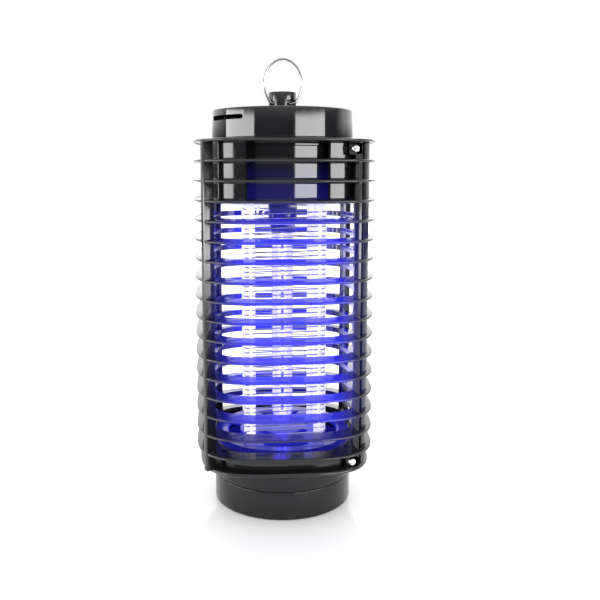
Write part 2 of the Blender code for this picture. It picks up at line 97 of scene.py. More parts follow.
SCREW_LEVELS = (0.2437, 0.0395)

# the head, its neck and the ring
CAP_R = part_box("head_housing")[1].x
CAP_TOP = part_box("head_housing")[1].z
CAP_BOTTOM = 0.2506
ROOF = 0.0024
COLLAR_R = 0.047
BEAD_Z = 0.2464                   # bead round the collar
HEAD_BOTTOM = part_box("head_housing")[0].z
SLOT_TURN = math.radians(55.7)    # the vent slots, opposite each other
SLOT_Z = 0.264
SLOT_HALF, SLOT_R = 0.0166, 0.0015
GLAND_Z = 0.2600
NECK_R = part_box("hanger_neck")[1].x
NECK_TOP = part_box("hanger_neck")[1].z
STEM_R, STEM_LOW = 0.0039, 0.2600
RING_Y = -0.0058
RING_Z = 0.2746
RING_WIRE_R = 0.0008
RING_FOOT_X = 0.0082              # wide enough to clear the neck when the ring swings back
RING_HALF = 0.0128
RING_WAIST = 0.0128
RING_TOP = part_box("hanging_ring")[1].z - RING_Z - RING_WIRE_R

# the lamp and the grid
UNDER_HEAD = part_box("head_plate")[0].z - GAP          # where the holder and the posts end
LAMP_LOW, LAMP_TOP = (corner.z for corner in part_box("lamp_tube"))
TUBE_R = 0.0035
TUBE_AT = 0.0040
GLASS_T = 0.0007
LEAD_R = 0.0008
GRID_POST_AT = 0.023
GRID_POST_HALF = 0.003
COMB_HALF = 0.0009
COMB_REACH = 0.0018
GRID_HALF = 0.02675
GRID_PITCH = 0.0064
GRID_TURNS = 24
GRID_START = 0.0510
GRID_WIRE_R = 0.0004

# the floor and the base
FLOOR_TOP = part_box("floor_plate")[1].z
BASE_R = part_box("tray_cup")[1].x
BASE_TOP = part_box("base_collar")[1].z
TRAY_SEAM = 0.0190

# the cage's flat plates: half width, radius of the hole, bottom, top
CAGE_PLATES = ((ROOT_HALF + 0.0014, COLLAR_R + GAP, 0.2477, 0.2501),    # shelf round the head
               (ROOT_HALF - 0.0007, 0.044, 0.0421, 0.0441),             # flange under the floor
               (ROOT_HALF + 0.0020, 0.041, 0.0328, 0.0364))             # sole, on the base

# ---- materials -----------------------------------------------------------------------------------
PAINTED_LAMP_BLUE = (0.026, 0.030, 0.86)       # the lamp's light, painted as a glow where it floods the black plastic
NOISE_LOW, NOISE_HIGH = 0.35, 0.65                    # where most of a noise's values lie


class Nodes:
    """A node tree under construction."""

    def __init__(self, tree):
        self.nodes = tree.nodes
        self.links = tree.links

    def math(self, operation, first, second=0.0):
        node = self.nodes.new("ShaderNodeMath")
        node.operation = operation
        for socket, value in zip(node.inputs, (first, second)):
            if isinstance(value, (int, float)):
                socket.default_value = value
            else:
                self.links.new(value, socket)
        return node.outputs[0]

    def product(self, first, second):
        return self.math("MULTIPLY", first, second)

    def ease(self, value, start, end, low=0.0, high=1.0):
        """A smooth step of a value, from low at start to high at end."""
        node = self.nodes.new("ShaderNodeMapRange")
        node.interpolation_type = "SMOOTHSTEP"
        self.links.new(value, node.inputs["Value"])
        if start > end:
            start, end, low, high = end, start, high, low
        sockets = ("From Min", "From Max", "To Min", "To Max")
        for socket, number in zip(sockets, (start, end, low, high)):
            node.inputs[socket].default_value = number
        return node.outputs[0]


class Look(Nodes):
    """A material under construction: its Principled shader and the nodes that feed it."""

    def __init__(self, name, color, roughness, metallic=0.0):
        self.material = bpy.data.materials.new(name)
        self.material.use_nodes = True
        super().__init__(self.material.node_tree)
        self.shader = self.nodes["Principled BSDF"]
        self.shader.inputs["Base Color"].default_value = (*color, 1.0)
        self.shader.inputs["Roughness"].default_value = roughness
        self.shader.inputs["Metallic"].default_value = metallic
        self.place = self.nodes.new("ShaderNodeTexCoord").outputs["Object"]
        self.axes = None

    def axis(self, letter):
        """One coordinate of the surface point, in metres."""
        if self.axes is None:
            self.axes = self.nodes.new("ShaderNodeSeparateXYZ")
            self.links.new(self.place, self.axes.inputs[0])
        return self.axes.outputs[letter]

    def radius(self):
        """Distance from the lantern's axis, in metres."""
        squares = [self.product(self.axis(letter), self.axis(letter)) for letter in "XY"]
        return self.math("SQRT", self.math("ADD", *squares))

    def noise(self, scale, detail=2.0, stretch=None):
        """Noise over the surface, with scale in waves a metre."""
        node = self.nodes.new("ShaderNodeTexNoise")
        node.inputs["Scale"].default_value = scale
        node.inputs["Detail"].default_value = detail
        source = self.place
        if stretch:
            mapping = self.nodes.new("ShaderNodeMapping")
            mapping.inputs["Scale"].default_value = stretch
            self.links.new(source, mapping.inputs["Vector"])
            source = mapping.outputs[0]
        self.links.new(source, node.inputs["Vector"])
        return node.outputs["Fac"]

    def vary_roughness(self, source, low, high):
        varied = self.ease(source, NOISE_LOW, NOISE_HIGH, low, high)
        self.links.new(varied, self.shader.inputs["Roughness"])

    def bump(self, source, depth):
        node = self.nodes.new("ShaderNodeBump")
        node.inputs["Distance"].default_value = depth
        self.links.new(source, node.inputs["Height"])
        self.links.new(node.outputs[0], self.shader.inputs["Normal"])

    def tint(self, source, dark, light):
        """Base colour between two colours by a value."""
        node = self.nodes.new("ShaderNodeMix")
        node.data_type = "RGBA"
        self.links.new(source, node.inputs["Factor"])
        node.inputs["A"].default_value = (*dark, 1.0)
        node.inputs["B"].default_value = (*light, 1.0)
        self.links.new(node.outputs["Result"], self.shader.inputs["Base Color"])

    def specular(self, level):
        self.shader.inputs["Specular IOR Level"].default_value = level

    def glow(self, color, strength):
        self.shader.inputs["Emission Color"].default_value = (*color, 1.0)
        socket = self.shader.inputs["Emission Strength"]
        if isinstance(strength, (int, float)):
            socket.default_value = strength
        else:
            self.links.new(strength, socket)


def gloss_black(name, roughness):
    """Injection-moulded black plastic: glossy, with faint flow waviness and fine dust-like wear."""
    look = Look(name, (0.008, 0.008, 0.009), roughness)
    look.tint(look.noise(900.0, 3.0), (0.006, 0.006, 0.007), (0.013, 0.013, 0.015))
    look.vary_roughness(look.noise(260.0, 4.0), roughness, roughness + 0.05)
    look.bump(look.noise(90.0, 1.0), 0.00002)
    return look


def cage_look():
    """Black plastic with the lamp's blue light painted on as a glow where it is near the lamp."""
    look = gloss_black("cage_black_painted_glow", 0.10)
    height = look.axis("Z")
    across = look.math("ABSOLUTE", look.axis("X"))
    along = look.math("ABSOLUTE", look.axis("Y"))
    level = look.product(look.ease(height, 0.050, 0.082), look.ease(height, 0.214, 0.186))
    # painted lamp light, a glow on the middle of the front and back, and more weakly on the roots
    # of the side fins
    middle = look.ease(across, 0.050, 0.024)
    root = look.product(look.ease(across, 0.0535, 0.0500), look.ease(across, 0.0440, 0.0480))
    side = look.product(root, look.ease(along, 0.046, 0.030, 0.0, 0.45))
    lit = look.product(level, look.math("MAXIMUM", middle, side))
    # a painted glow inside the cage, below the floor, for the light that comes through the floor's
    # slots
    below = look.product(look.ease(height, 0.0448, 0.0442),
                         look.ease(look.radius(), 0.0490, 0.0484))
    look.glow(PAINTED_LAMP_BLUE, look.math("ADD", lit, look.product(below, 0.20)))
    return look.material


def head_look():
    """Black plastic with a little of the lamp's blue light painted on as a glow at its lower edge.
    """
    look = gloss_black("head_black_painted_glow", 0.04)
    look.glow(PAINTED_LAMP_BLUE, look.ease(look.axis("Z"), 0.240, 0.208, 0.0, 0.13))
    return look.material


def floor_look():
    """Black plastic right under the lamp, with the lamp's blue light painted on as a glow all over
    and most in the middle.
    """
    look = gloss_black("floor_black_painted_glow", 0.10)
    look.specular(0.25)
    look.glow(PAINTED_LAMP_BLUE, look.ease(look.radius(), 0.048, 0.034, 0.25, 0.52))
    return look.material


def holder_look():
    """Black plastic, with the blue light of the lamp below it painted on as a glow."""
    look = gloss_black("holder_black_painted_glow", 0.15)
    look.glow(PAINTED_LAMP_BLUE, look.ease(look.axis("Z"), 0.212, 0.188, 0.10, 0.45))
    return look.material


def base_look():
    """Black plastic, with the lamp's blue light painted on as a glow inside the tray where the
    floor's slots let the lamp in.
    """
    look = gloss_black("base_black_painted_glow", 0.16)
    look.specular(0.32)
    inside = look.product(look.ease(look.radius(), 0.0446, 0.0440),
                          look.ease(look.axis("Z"), 0.0015, 0.0018))
    look.glow(PAINTED_LAMP_BLUE, look.product(inside, 0.14))
    return look.material


def insulator_look():
    """White insulator, with the lamp's light through it painted on as a glow that varies a little
    at random.
    """
    look = Look("insulator_painted_glow", (0.80, 0.80, 0.86), 0.40)
    look.vary_roughness(look.noise(400.0), 0.35, 0.50)
    look.bump(look.noise(1200.0), 0.00003)
    look.glow((0.76, 0.72, 1.0), look.ease(look.noise(70.0), 0.3, 0.7, 0.55, 0.80))
    return look.material


def steel_look():
    """Bright zinc plate with a brushed grain."""
    look = Look("zinc_plate", (0.80, 0.80, 0.80), 0.18, 1.0)
    grain = look.noise(1500.0, 3.0, (1.0, 6.0, 1.0))
    look.vary_roughness(grain, 0.12, 0.30)
    look.bump(grain, 0.00001)
    return look.material


def chrome_look():
    look = Look("chrome", (0.38, 0.38, 0.39), 0.06, 1.0)
    look.vary_roughness(look.noise(600.0, 3.0), 0.04, 0.12)
    return look.material


def wire_look():
    """Drawn wire with a little of the lamp's light painted on as a glow."""
    look = Look("drawn_wire_painted_glow", (0.42, 0.42, 0.46), 0.30, 1.0)
    look.vary_roughness(look.noise(2500.0), 0.22, 0.42)
    look.glow((0.30, 0.28, 0.45), 0.10)
    return look.material


def lamp_core_look():
    """Phosphor coat, a little dimmer at the ends of the lamp."""
    look = Look("lamp_phosphor", (0.9, 0.88, 1.0), 0.6)
    height, fade = look.axis("Z"), 0.012
    ends = look.product(look.ease(height, LAMP_LOW, LAMP_LOW + fade, 0.75, 1.0),
                        look.ease(height, LAMP_TOP, LAMP_TOP - fade, 0.7, 1.0))
    look.glow((0.66, 0.61, 1.0), look.product(ends, 0.86))
    return look.material


def lamp_glass_look():
    """The thin glass round the phosphor, deep blue where no phosphor shows behind it."""
    look = Look("lamp_glass", (0.30, 0.30, 1.0), 0.05)
    look.shader.inputs["Alpha"].default_value = 0.40
    look.vary_roughness(look.noise(200.0), 0.03, 0.08)
    look.glow((0.22, 0.20, 1.0), 0.50)
    return look.material


def plain_look(name, color, roughness, metallic=0.0, grain=700.0):
    """A colour with a little grain, for the grommet and the parts inside the head."""
    look = Look(name, color, roughness, metallic)
    source = look.noise(grain, 3.0)
    look.tint(source, tuple(c * 0.75 for c in color), tuple(min(1.0, c * 1.2) for c in color))
    look.vary_roughness(source, roughness * 0.8, min(1.0, roughness * 1.3))
    look.bump(source, 0.00002)
    return look.material


CAGE_BLACK_PAINTED_GLOW = cage_look()
HEAD_BLACK_PAINTED_GLOW = head_look()
FLOOR_BLACK_PAINTED_GLOW = floor_look()
HOLDER_BLACK_PAINTED_GLOW = holder_look()
BASE_BLACK_PAINTED_GLOW = base_look()
INSULATOR_PAINTED_GLOW = insulator_look()
STEEL = steel_look()
CHROME = chrome_look()
WIRE = wire_look()
PHOSPHOR = lamp_core_look()
GLASS = lamp_glass_look()

# ---- tools ---------------------------------------------------------------------------------------
SHARP = math.radians(35)          # faces that meet at more than this keep a crisp edge
WELD = 0.000001                   # points closer than this are one point


def turn_about(letter, angle):
    return Matrix.Rotation(angle, 4, letter)


def new_object(name, data):
    made = bpy.data.objects.new(name, data)
    bpy.context.scene.collection.objects.link(made)
    return made


def new_mesh(name, bm):
    mesh = bpy.data.meshes.new(name)
    bm.to_mesh(mesh)
    bm.free()
    return mesh


def piece(name, bm, look, body, slot, *nodes):
    """A new smooth-shaded piece that stands for its CAD nodes and rides their body."""
    bmesh.ops.remove_doubles(bm, verts=bm.verts, dist=WELD)
    bmesh.ops.dissolve_degenerate(bm, edges=bm.edges, dist=WELD)
    bmesh.ops.recalc_face_normals(bm, faces=bm.faces)
    mesh = new_mesh(name, bm)
    mesh.shade_smooth()
    mesh.set_sharp_from_angle(angle=SHARP)
    mesh.materials.append(look)
    made = new_object(name, mesh)
    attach(made, body)
    if nodes:
        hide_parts(*nodes)
    return made


def cutter(name, bm):
    bmesh.ops.recalc_face_normals(bm, faces=bm.faces)
    return new_object(name, new_mesh(name, bm))


def cut(obj, *cutters):
    """Boolean differences, applied, so that the cutters can go."""
    for other in cutters:
        modifier = obj.modifiers.new("cut", "BOOLEAN")
        modifier.object = other
        modifier.solver = "EXACT"
    graph = bpy.context.evaluated_depsgraph_get()
    mesh = bpy.data.meshes.new_from_object(obj.evaluated_get(graph))
    obj.modifiers.clear()
    obj.data = mesh
    mesh.set_sharp_from_angle(angle=SHARP)
    for other in cutters:
        bpy.data.objects.remove(other)


def add_box(bm, low, high, edge=0.0, turn=None):
    """A box between two corners with its edges rounded; turn is a matrix for the whole box."""
    made = bmesh.ops.create_cube(bm, size=1.0)["verts"]
    size = [b - a for a, b in zip(low, high)]
    middle = [(a + b) / 2 for a, b in zip(low, high)]
    bmesh.ops.scale(bm, vec=size, verts=made)
    if edge:
        edges = list({e for v in made for e in v.link_edges})
        result = bmesh.ops.bevel(bm, geom=edges, offset=edge, segments=2, profile=0.5,
                                 affect="EDGES")
        rounded = {v for f in result["faces"] for v in f.verts}
        made = list(rounded | {v for v in made if v.is_valid})
    bmesh.ops.translate(bm, vec=middle, verts=made)
    if turn is not None:
        bmesh.ops.transform(bm, matrix=turn, verts=made)


def bend(points, radius, steps=3):
    """The same path, in two or three dimensions, with its corners rounded."""
    path = [points[0]]
    for before, here, after in zip(points, points[1:], points[2:]):
        ends = []
        for other in (before, after):
            span = math.dist(here, other)
            share = min(radius, span * 0.49) / span
            ends.append([h + (o - h) * share for h, o in zip(here, other)])
        for i in range(steps + 1):
            t = i / steps
            path.append([(1 - t) ** 2 * a + 2 * t * (1 - t) * h + t * t * b
                         for a, h, b in zip(ends[0], here, ends[1])])
    path.append(points[-1])
    return path


def add_turned(bm, profile, steps, closed=False, matrix=None):
    """A profile of (radius, height) turned about Z."""
    verts = [bm.verts.new((r, 0, z)) for r, z in profile]
    pairs = list(zip(verts, verts[1:]))
    if closed:
        pairs.append((verts[-1], verts[0]))
    edges = [bm.edges.new(pair) for pair in pairs]
    before = set(bm.verts)
    bmesh.ops.spin(bm, geom=verts + edges, axis=(0, 0, 1), cent=(0, 0, 0), angle=math.tau,
                   steps=steps, use_merge=True)
    made = [v for v in bm.verts if v not in before] + verts
    if matrix is not None:
        bmesh.ops.transform(bm, matrix=matrix, verts=made)
    bmesh.ops.remove_doubles(bm, verts=made, dist=WELD)


def rod(name, radius, length, matrix):
    """A cutter: a round rod up from the origin along Z, then moved by the matrix."""
    bm = bmesh.new()
    add_turned(bm, [(0, length), (radius, length), (radius, 0), (0, 0)], 32, matrix=matrix)
    return cutter(name, bm)


def add_sweep(bm, loops):
    """Skin over a row of loops of equally many points, closed at both ends."""
    rows = [[bm.verts.new(p) for p in loop] for loop in loops]
    for row, after in zip(rows, rows[1:]):
        for i in range(len(row)):
            j = (i + 1) % len(row)
            bm.faces.new((row[i], row[j], after[j], after[i]))
    bm.faces.new(rows[0])
    bm.faces.new(rows[-1][::-1])


def add_tube(bm, path, radius, sides):
    """A round wire along points, its section turned as little as possible from point to point."""
    points = [Vector(p) for p in path]
    normal = None
    loops = []
    for i, here in enumerate(points):
        before, after = points[max(i - 1, 0)], points[min(i + 1, len(points) - 1)]
        along = (after - before).normalized()
        if normal is None:
            normal = along.orthogonal().normalized()
        normal = (normal - along * normal.dot(along)).normalized()
        side = along.cross(normal)
        turns = [math.tau * k / sides for k in range(sides)]
        loops.append([here + (normal * math.cos(a) + side * math.sin(a)) * radius for a in turns])
    add_sweep(bm, loops)


# ---- the cage ------------------------------------------------------------------------------------
def plan_point(half, turn):
    """A point of the rounded-square plan."""
    power = 2 / SQUARENESS
    c, s = math.cos(turn), math.sin(turn)
    return half * math.copysign(abs(c) ** power, c), half * math.copysign(abs(s) ** power, s)


def plan_angle(x, half):
    """The turn from the X axis at which the plan is x wide."""
    return math.acos((x / half) ** (SQUARENESS / 2))


def plan_turns(start, end, steps):
    """Turns that space the points evenly along the plan instead of bunching them in its corners."""
    count = 2000
    fine = [start + (end - start) * i / count for i in range(count + 1)]
    spots = [plan_point(1.0, turn) for turn in fine]
    lengths = [0.0]
    for a, b in zip(spots, spots[1:]):
        lengths.append(lengths[-1] + math.dist(a, b))
    turns, k = [], 0
    for i in range(steps + 1):
        wanted = lengths[-1] * i / steps
        while k < count - 1 and lengths[k + 1] < wanted:
            k += 1
        share = (wanted - lengths[k]) / (lengths[k + 1] - lengths[k])
        turns.append(fine[k] + (fine[k + 1] - fine[k]) * min(1.0, share))
    return turns


def add_plan(bm, section, turns):
    """A section of (half width, height) swept along the plan and ended at the two seams."""
    loops = []
    for turn in turns:
        loop = []
        for half, z in section:
            seam = plan_angle(SEAM_X, half)
            kept = min(max(turn, math.pi - seam), math.tau - seam)
            loop.append((*plan_point(half, kept), z))
        loops.append(loop)
    add_sweep(bm, loops)


def fin_section(z):
    """A blade with a round tip that thins from its root."""
    tip, root, edge = FIN_TIP_T / 2, FIN_ROOT_T / 2, 0.0003
    turns = [math.pi / 2 - math.pi * i / 8 for i in range(9)]
    nose = [(FIN_HALF - tip + tip * math.cos(a), z + tip * math.sin(a)) for a in turns]
    return [(ROOT_HALF + edge, z + root), *nose, (ROOT_HALF + edge, z - root),
            (ROOT_HALF, z - root + edge), (ROOT_HALF, z + root - edge)]


def rim_section():
    """The bottom rim: flat on top and below, with a blunt nose."""
    high, low, edge = RIM_Z + RIM_T / 2, RIM_Z - RIM_T / 2, 0.0003
    nose = bend([(ROOT_HALF + edge, high), (RIM_HALF - 0.0008, RIM_Z + RIM_T * 0.34),
                 (RIM_HALF, RIM_Z), (RIM_HALF - 0.0006, RIM_Z - RIM_T * 0.30),
                 (ROOT_HALF + 0.004, low), (ROOT_HALF + edge, low)], 0.0012, 4)
    return [*nose, (ROOT_HALF, low + edge), (ROOT_HALF, high - edge)]


def wall_section(low, high):
    inner, outer = ROOT_HALF - WALL, ROOT_HALF + 0.0006
    return [(inner, high), (outer, high), (outer, low), (inner, low)]


def add_round_hole(bm, outer, radius, low, high):
    """A flat plate from the plan's half width in to a round hole, over the half with negative y."""
    loops = []
    for turn in plan_turns(math.pi, math.tau, 72):
        x, y = plan_point(outer, turn)
        share = radius / math.hypot(x, y)
        loops.append([(x * share, y * share, high), (x, y, high),
                      (x, y, low), (x * share, y * share, low)])
    add_sweep(bm, loops)


def make_cage_half(name, node, turned):
    """The front and left sides of the cage. The back half is the same moulding, half a turn on."""
    bm = bmesh.new()
    whole = plan_turns(*HALF_SPAN, 150)
    for i in range(FIN_COUNT):
        add_plan(bm, fin_section(TOP_FIN_Z - FIN_PITCH * i), whole)
    add_plan(bm, rim_section(), whole)
    add_plan(bm, wall_section(*SKIRT_WALL), whole)
    corner = plan_angle(WINDOW_HALF, ROOT_HALF)
    for quarter in (math.pi / 2, math.pi, 3 * math.pi / 2):
        start = max(quarter + math.pi / 2 - corner, WINDOW_SPAN[0])
        end = min(quarter + corner, WINDOW_SPAN[1])
        add_plan(bm, wall_section(*CORNER_WALL), plan_turns(start, end, 24))
    for plate in CAGE_PLATES:
        add_round_hole(bm, *plate)
    add_box(bm, (RIGHT_POST_X, RIGHT_POST_FRONT, POST_LOW), (SEAM_X, RIGHT_POST_BACK, POST_HIGH),
            CAGE_EDGE)
    for x, y, half_x, half_y, degrees in LEFT_POSTS:
        add_box(bm, (-half_x, -half_y, POST_LOW), (half_x, half_y, POST_HIGH), CAGE_EDGE,
                Matrix.Translation((x, y, 0)) @ turn_about("Z", math.radians(degrees)))
    for z in SCREW_LEVELS:          # a boss at the right seam, and a lug at the left one
        add_box(bm, (0.0386, -0.0484, z - 0.0038), (SEAM_X, -0.0400, z + 0.0038), CAGE_EDGE)
        add_box(bm, (-0.0520, 0.0345, z - 0.0024), (-0.0386, 0.0396, z + 0.0024), CAGE_EDGE)
    if turned:
        bmesh.ops.transform(bm, matrix=turn_about("Z", math.pi), verts=bm.verts)
    piece(name, bm, CAGE_BLACK_PAINTED_GLOW, "housing", "black_plastic", node)


def make_screw(number, at, angle):
    """A domed pan head with a cross recess, its shank along +Z before it is turned into place."""
    head_r, head_t, shank_r, length = 0.00265, 0.0017, 0.00125, 0.012
    bm = bmesh.new()
    profile = [(0, length), (shank_r * 0.3, length), (shank_r, length - 0.0015), (shank_r, 0),
               (head_r, 0)]
    for a in (math.pi / 2 * i / 8 for i in range(1, 8)):
        profile.append((head_r * math.cos(a) ** 0.6, -head_t * math.sin(a)))
    profile.append((0, -head_t))
    add_turned(bm, profile, 40)
    made = piece(f"pan_screw_{number}", bm, STEEL, "housing", "plated_steel",
                 f"cage_screw_{number}")
    half_long, half_wide = head_r * 0.62, head_r * 0.13
    cross = []
    for degrees in (35, 125):
        arm = bmesh.new()
        add_box(arm, (-half_long, -half_wide, -head_t * 1.3),
                (half_long, half_wide, -head_t * 0.25),
                turn=turn_about("Z", math.radians(degrees)))
        cross.append(cutter(f"recess_{degrees}", arm))
    cut(made, *cross)
    made.data.transform(Matrix.Translation(at) @ turn_about("X", angle))


def make_cage_screws():
    """Two in each seam, the first two at the front right and the others at the back left."""
    number = 0
    for side in (1, -1):
        for z in SCREW_LEVELS:
            number += 1
            make_screw(number, (side * SCREW_X, -side * SCREW_FACE, z), -side * math.pi / 2)


# ---- head, neck and ring -------------------------------------------------------------------------
def vent_slot(number):
    """A cutter for a slot with round ends, through the cap's wall."""
    turns = [math.pi * k / 8 for k in range(9)]
    outline = [(SLOT_HALF - SLOT_R + SLOT_R * math.sin(a), SLOT_R * math.cos(a)) for a in turns]
    outline += [(-x, -z) for x, z in outline]
    start, depth = -0.060, 0.0175
    bm = bmesh.new()
    add_sweep(bm, [[(x, y, z) for x, z in outline] for y in (start, start + depth)])
    turn = turn_about("Z", math.pi * number - SLOT_TURN) @ Matrix.Translation((0, 0, SLOT_Z))
    bmesh.ops.transform(bm, matrix=turn, verts=bm.verts)
    return cutter(f"slot_{number}", bm)


def make_head():
    """The cap and the collar below it, hollow, with two vent slots and the grommet's hole."""
    inner, chamfer, bead = COLLAR_R - WALL, 0.0004, COLLAR_R + 0.0010
    profile = bend([(0, CAP_TOP), (CAP_R, CAP_TOP), (CAP_R, CAP_BOTTOM), (COLLAR_R, CAP_BOTTOM)],
                   0.0011, 4)
    profile += [(COLLAR_R, BEAD_Z + 0.0010), (bead, BEAD_Z + 0.0004), (bead, BEAD_Z - 0.0004),
                (COLLAR_R, BEAD_Z - 0.0010), (COLLAR_R, HEAD_BOTTOM + chamfer),
                (COLLAR_R - chamfer, HEAD_BOTTOM), (inner, HEAD_BOTTOM),
                (inner, CAP_TOP - ROOF), (0, CAP_TOP - ROOF)]
    bm = bmesh.new()
    add_turned(bm, profile, 160)
    made = piece("cap_and_collar", bm, HEAD_BLACK_PAINTED_GLOW, "housing", "black_plastic", "head_housing")
    back = Matrix.Translation((0, 0.043, GLAND_Z)) @ turn_about("X", -math.pi / 2)
    cut(made, vent_slot(0), vent_slot(1), rod("gland_hole", 0.0043, 0.008, back))


def make_neck():
    """The neck and its stem, bored across for the ring, with a window at the front right."""
    low = CAP_TOP + GAP
    profile = bend([(0, NECK_TOP), (NECK_R, NECK_TOP), (NECK_R, low + 0.0012),
                    (NECK_R + 0.0005, low)], 0.0007, 4)
    profile += [(STEM_R, low), (STEM_R, STEM_LOW), (0, STEM_LOW)]
    bm = bmesh.new()
    add_turned(bm, profile, 96)
    made = piece("neck", bm, HEAD_BLACK_PAINTED_GLOW, "housing", "black_plastic", "hanger_neck")
    across = Matrix.Translation((-0.0120, RING_Y, RING_Z)) @ turn_about("Y", math.pi / 2)
    window = bmesh.new()
    add_box(window, (0.0023, -0.0110, 0.2720), (0.0110, -0.0030, 0.2771), 0.0002)
    cut(made, rod("ring_bore", 0.0020, 0.017, across), cutter("ring_window", window))


def make_ring():
    """The wire: an end in each side of the bore, legs that sweep outward, and a round top."""
    steps, spread, rise = 14, RING_HALF - RING_FOOT_X, RING_TOP - RING_WAIST
    right = [(0.0042, 0.0), (0.0062, 0.0)]
    for i in range(1, steps + 1):
        share = math.sin(math.pi / 2 * i / steps)
        right.append((RING_FOOT_X + spread * share, RING_WAIST * i / steps))
    for i in range(1, steps + 1):
        a = math.pi / 2 * i / steps
        right.append((RING_HALF * math.cos(a), RING_WAIST + rise * math.sin(a)))
    path = bend(right + [(-x, z) for x, z in right[-2::-1]], 0.0012)
    bm = bmesh.new()
    add_tube(bm, [(x, RING_Y, RING_Z + z) for x, z in path], RING_WIRE_R, 16)
    piece("wire_ring", bm, CHROME, "hanging_ring", "chrome_wire", "hanging_ring")


def make_gland():
    """The grommet: a sleeve through the cap's wall between two flanges."""
    inner, waist, flange = 0.0022, 0.0040, 0.0060
    profile = bend([(inner, -0.0045), (inner, 0.0030), (waist, 0.0030), (waist, -0.0003),
                    (flange, -0.0003), (flange, -0.0028), (0.0045, -0.0045), (0.0023, -0.0045)],
                   0.0003, 2)
    bm = bmesh.new()
    add_turned(bm, profile, 48, closed=True,
               matrix=Matrix.Translation((0, CAP_R, GLAND_Z)) @ turn_about("X", math.pi / 2))
    rubber = plain_look("grommet_rubber", (0.02, 0.02, 0.021), 0.65)
    piece("grommet", bm, rubber, "housing", "rubber", "cord_gland")


# ---- lamp and grid -------------------------------------------------------------------------------
def lamp_path(top):
    """Up one finger of the lamp and down the other, with a round turn between them."""
    low = LAMP_LOW + TUBE_R + TUBE_AT
    turns = [math.pi + math.pi * i / 16 for i in range(17)]
    bottom = [(TUBE_AT * math.cos(a), 0, low + TUBE_AT * math.sin(a)) for a in turns]
    return [(-TUBE_AT, 0, top), *bottom, (TUBE_AT, 0, top)]


def make_lamp():
    glass = bmesh.new()
    add_tube(glass, lamp_path(LAMP_TOP), TUBE_R, 24)
    piece("lamp_glass_tube", glass, GLASS, "housing", "lamp_glass", "lamp_tube")
    core = bmesh.new()
    add_tube(core, lamp_path(LAMP_TOP - 0.0002), TUBE_R - GLASS_T, 20)
    piece("lamp_phosphor_coat", core, PHOSPHOR, "housing", "lamp_glass")


def make_holder():
    """The holder, with cheeks round the lamp's cap and a tongue up into the head; and a lead."""
    half, deep, cheek, sill, meet = 0.0095, 0.0070, 0.0066, 0.1955, 0.2012
    bm = bmesh.new()
    add_box(bm, (-half, -deep, 0.2010), (half, deep, UNDER_HEAD), 0.0006)
    add_box(bm, (-half, -deep, sill), (-cheek, deep, meet), 0.0005)
    add_box(bm, (cheek, -deep, sill), (half, deep, meet), 0.0005)
    add_box(bm, (-0.0070, 0.0042, sill), (0.0070, deep, meet), 0.0005)
    add_box(bm, (-0.0070, -deep, sill), (0.0070, -0.0042, 0.1968), 0.0004)
    add_box(bm, (-0.0062, -0.0047, 0.2080), (0.0062, 0.0047, 0.2150))
    piece("lamp_holder", bm, HOLDER_BLACK_PAINTED_GLOW, "housing", "black_plastic", "lamp_socket")
    cap = bmesh.new()
    add_box(cap, (-0.0085, -0.0055, LAMP_TOP + GAP), (0.0085, 0.0055, 0.1952), 0.0006)
    add_box(cap, (-0.0060, -0.0036, 0.1940), (0.0060, 0.0036, 0.2015), 0.0003)
    piece("lamp_cap", cap, HOLDER_BLACK_PAINTED_GLOW, "housing", "black_plastic", "lamp_base")
    lead = [(-0.0165, -0.0040, 0.2180), (-0.0165, -0.0040, 0.2070), (-0.0178, -0.0075, 0.1985),
            (-0.0140, -0.0065, 0.1975), (-0.0132, -0.0025, 0.2030), (-0.0098, -0.0025, 0.2030)]
    wire = bmesh.new()
    add_tube(wire, bend(lead, 0.003, 6), LEAD_R, 12)
    piece("lamp_wire", wire, INSULATOR_PAINTED_GLOW, "housing", "white_insulator", "lamp_lead")


def make_post(number, x, y):
    """A post, with a plain strip down each outward face where the comb spaces the wires."""
    half = GRID_POST_HALF
    comb_low, comb_high = GRID_START + 0.002, GRID_START + GRID_PITCH * GRID_TURNS - 0.001
    bm = bmesh.new()
    add_box(bm, (x - half, y - half, FLOOR_TOP + GAP), (x + half, y + half, UNDER_HEAD), 0.0006)
    for dx, dy in ((math.copysign(1, x), 0), (0, math.copysign(1, y))):
        root = x + dx * half, y + dy * half
        tip = root[0] + dx * COMB_REACH, root[1] + dy * COMB_REACH
        across = abs(dy) * COMB_HALF, abs(dx) * COMB_HALF
        low = [min(a, b) - c for a, b, c in zip(root, tip, across)]
        high = [max(a, b) + c for a, b, c in zip(root, tip, across)]
        add_box(bm, (*low, comb_low), (*high, comb_high), 0.0002)
    piece(f"comb_post_{number}", bm, INSULATOR_PAINTED_GLOW, "housing", "white_insulator",
          f"grid_post_{number}")


def make_grid():
    """Four posts, and two wires wound round them side by side, a quarter turn from post to post."""
    corners = ((-1, -1), (1, -1), (1, 1), (-1, 1))
    for number, (sx, sy) in enumerate(corners, 1):
        make_post(number, GRID_POST_AT * sx, GRID_POST_AT * sy)
    for number, lift in ((1, 0.0), (2, GRID_PITCH / 2)):
        path = []
        for i in range(4 * GRID_TURNS + 1):
            sx, sy = corners[i % 4]
            path.append((GRID_HALF * sx, GRID_HALF * sy, GRID_START + lift + GRID_PITCH * i / 4))
        bm = bmesh.new()
        add_tube(bm, bend(path, 0.0012), GRID_WIRE_R, 8)
        piece(f"grid_winding_{number}", bm, WIRE, "housing", "grid_wire", f"grid_wire_{number}")


